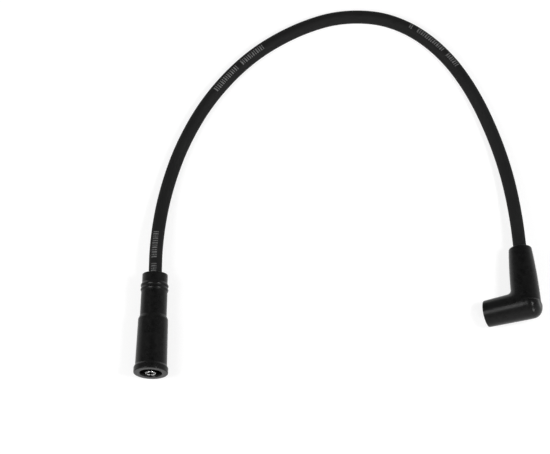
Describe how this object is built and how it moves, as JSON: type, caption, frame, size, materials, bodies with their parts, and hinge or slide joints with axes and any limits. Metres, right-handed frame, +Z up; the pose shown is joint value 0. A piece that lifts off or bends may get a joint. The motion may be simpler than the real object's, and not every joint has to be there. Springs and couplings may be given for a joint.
{
  "type": "spark plug wire",
  "caption": "Ignition lead: a round rubber-covered cable lying in an arch, with a straight boot and slotted crown terminal at one end and a right-angle boot with a cup terminal at the other.",
  "frame": {"origin": "on the floor, below the middle of the box that holds the two boots and their terminals; the free cable is not counted", "axes": "+Z up from the floor the wire lies on, +X from the straight boot towards the right-angle boot, +Y towards the top of the cable's arch"},
  "size_m": [0.2463, 0.2318, 0.0251],
  "materials": {
    "cable_jacket": "matte black silicone jacket",
    "boot_rubber": "satin black moulded rubber",
    "terminal_steel": "bright stamped steel"
  },
  "bodies": {
    "root": {"ignition_cable": "cable_jacket", "straight_boot": "boot_rubber", "straight_terminal": "terminal_steel", "elbow_boot": "boot_rubber", "elbow_terminal": "terminal_steel", "terminal_clip": "terminal_steel"}
  },
  "joints": []
}
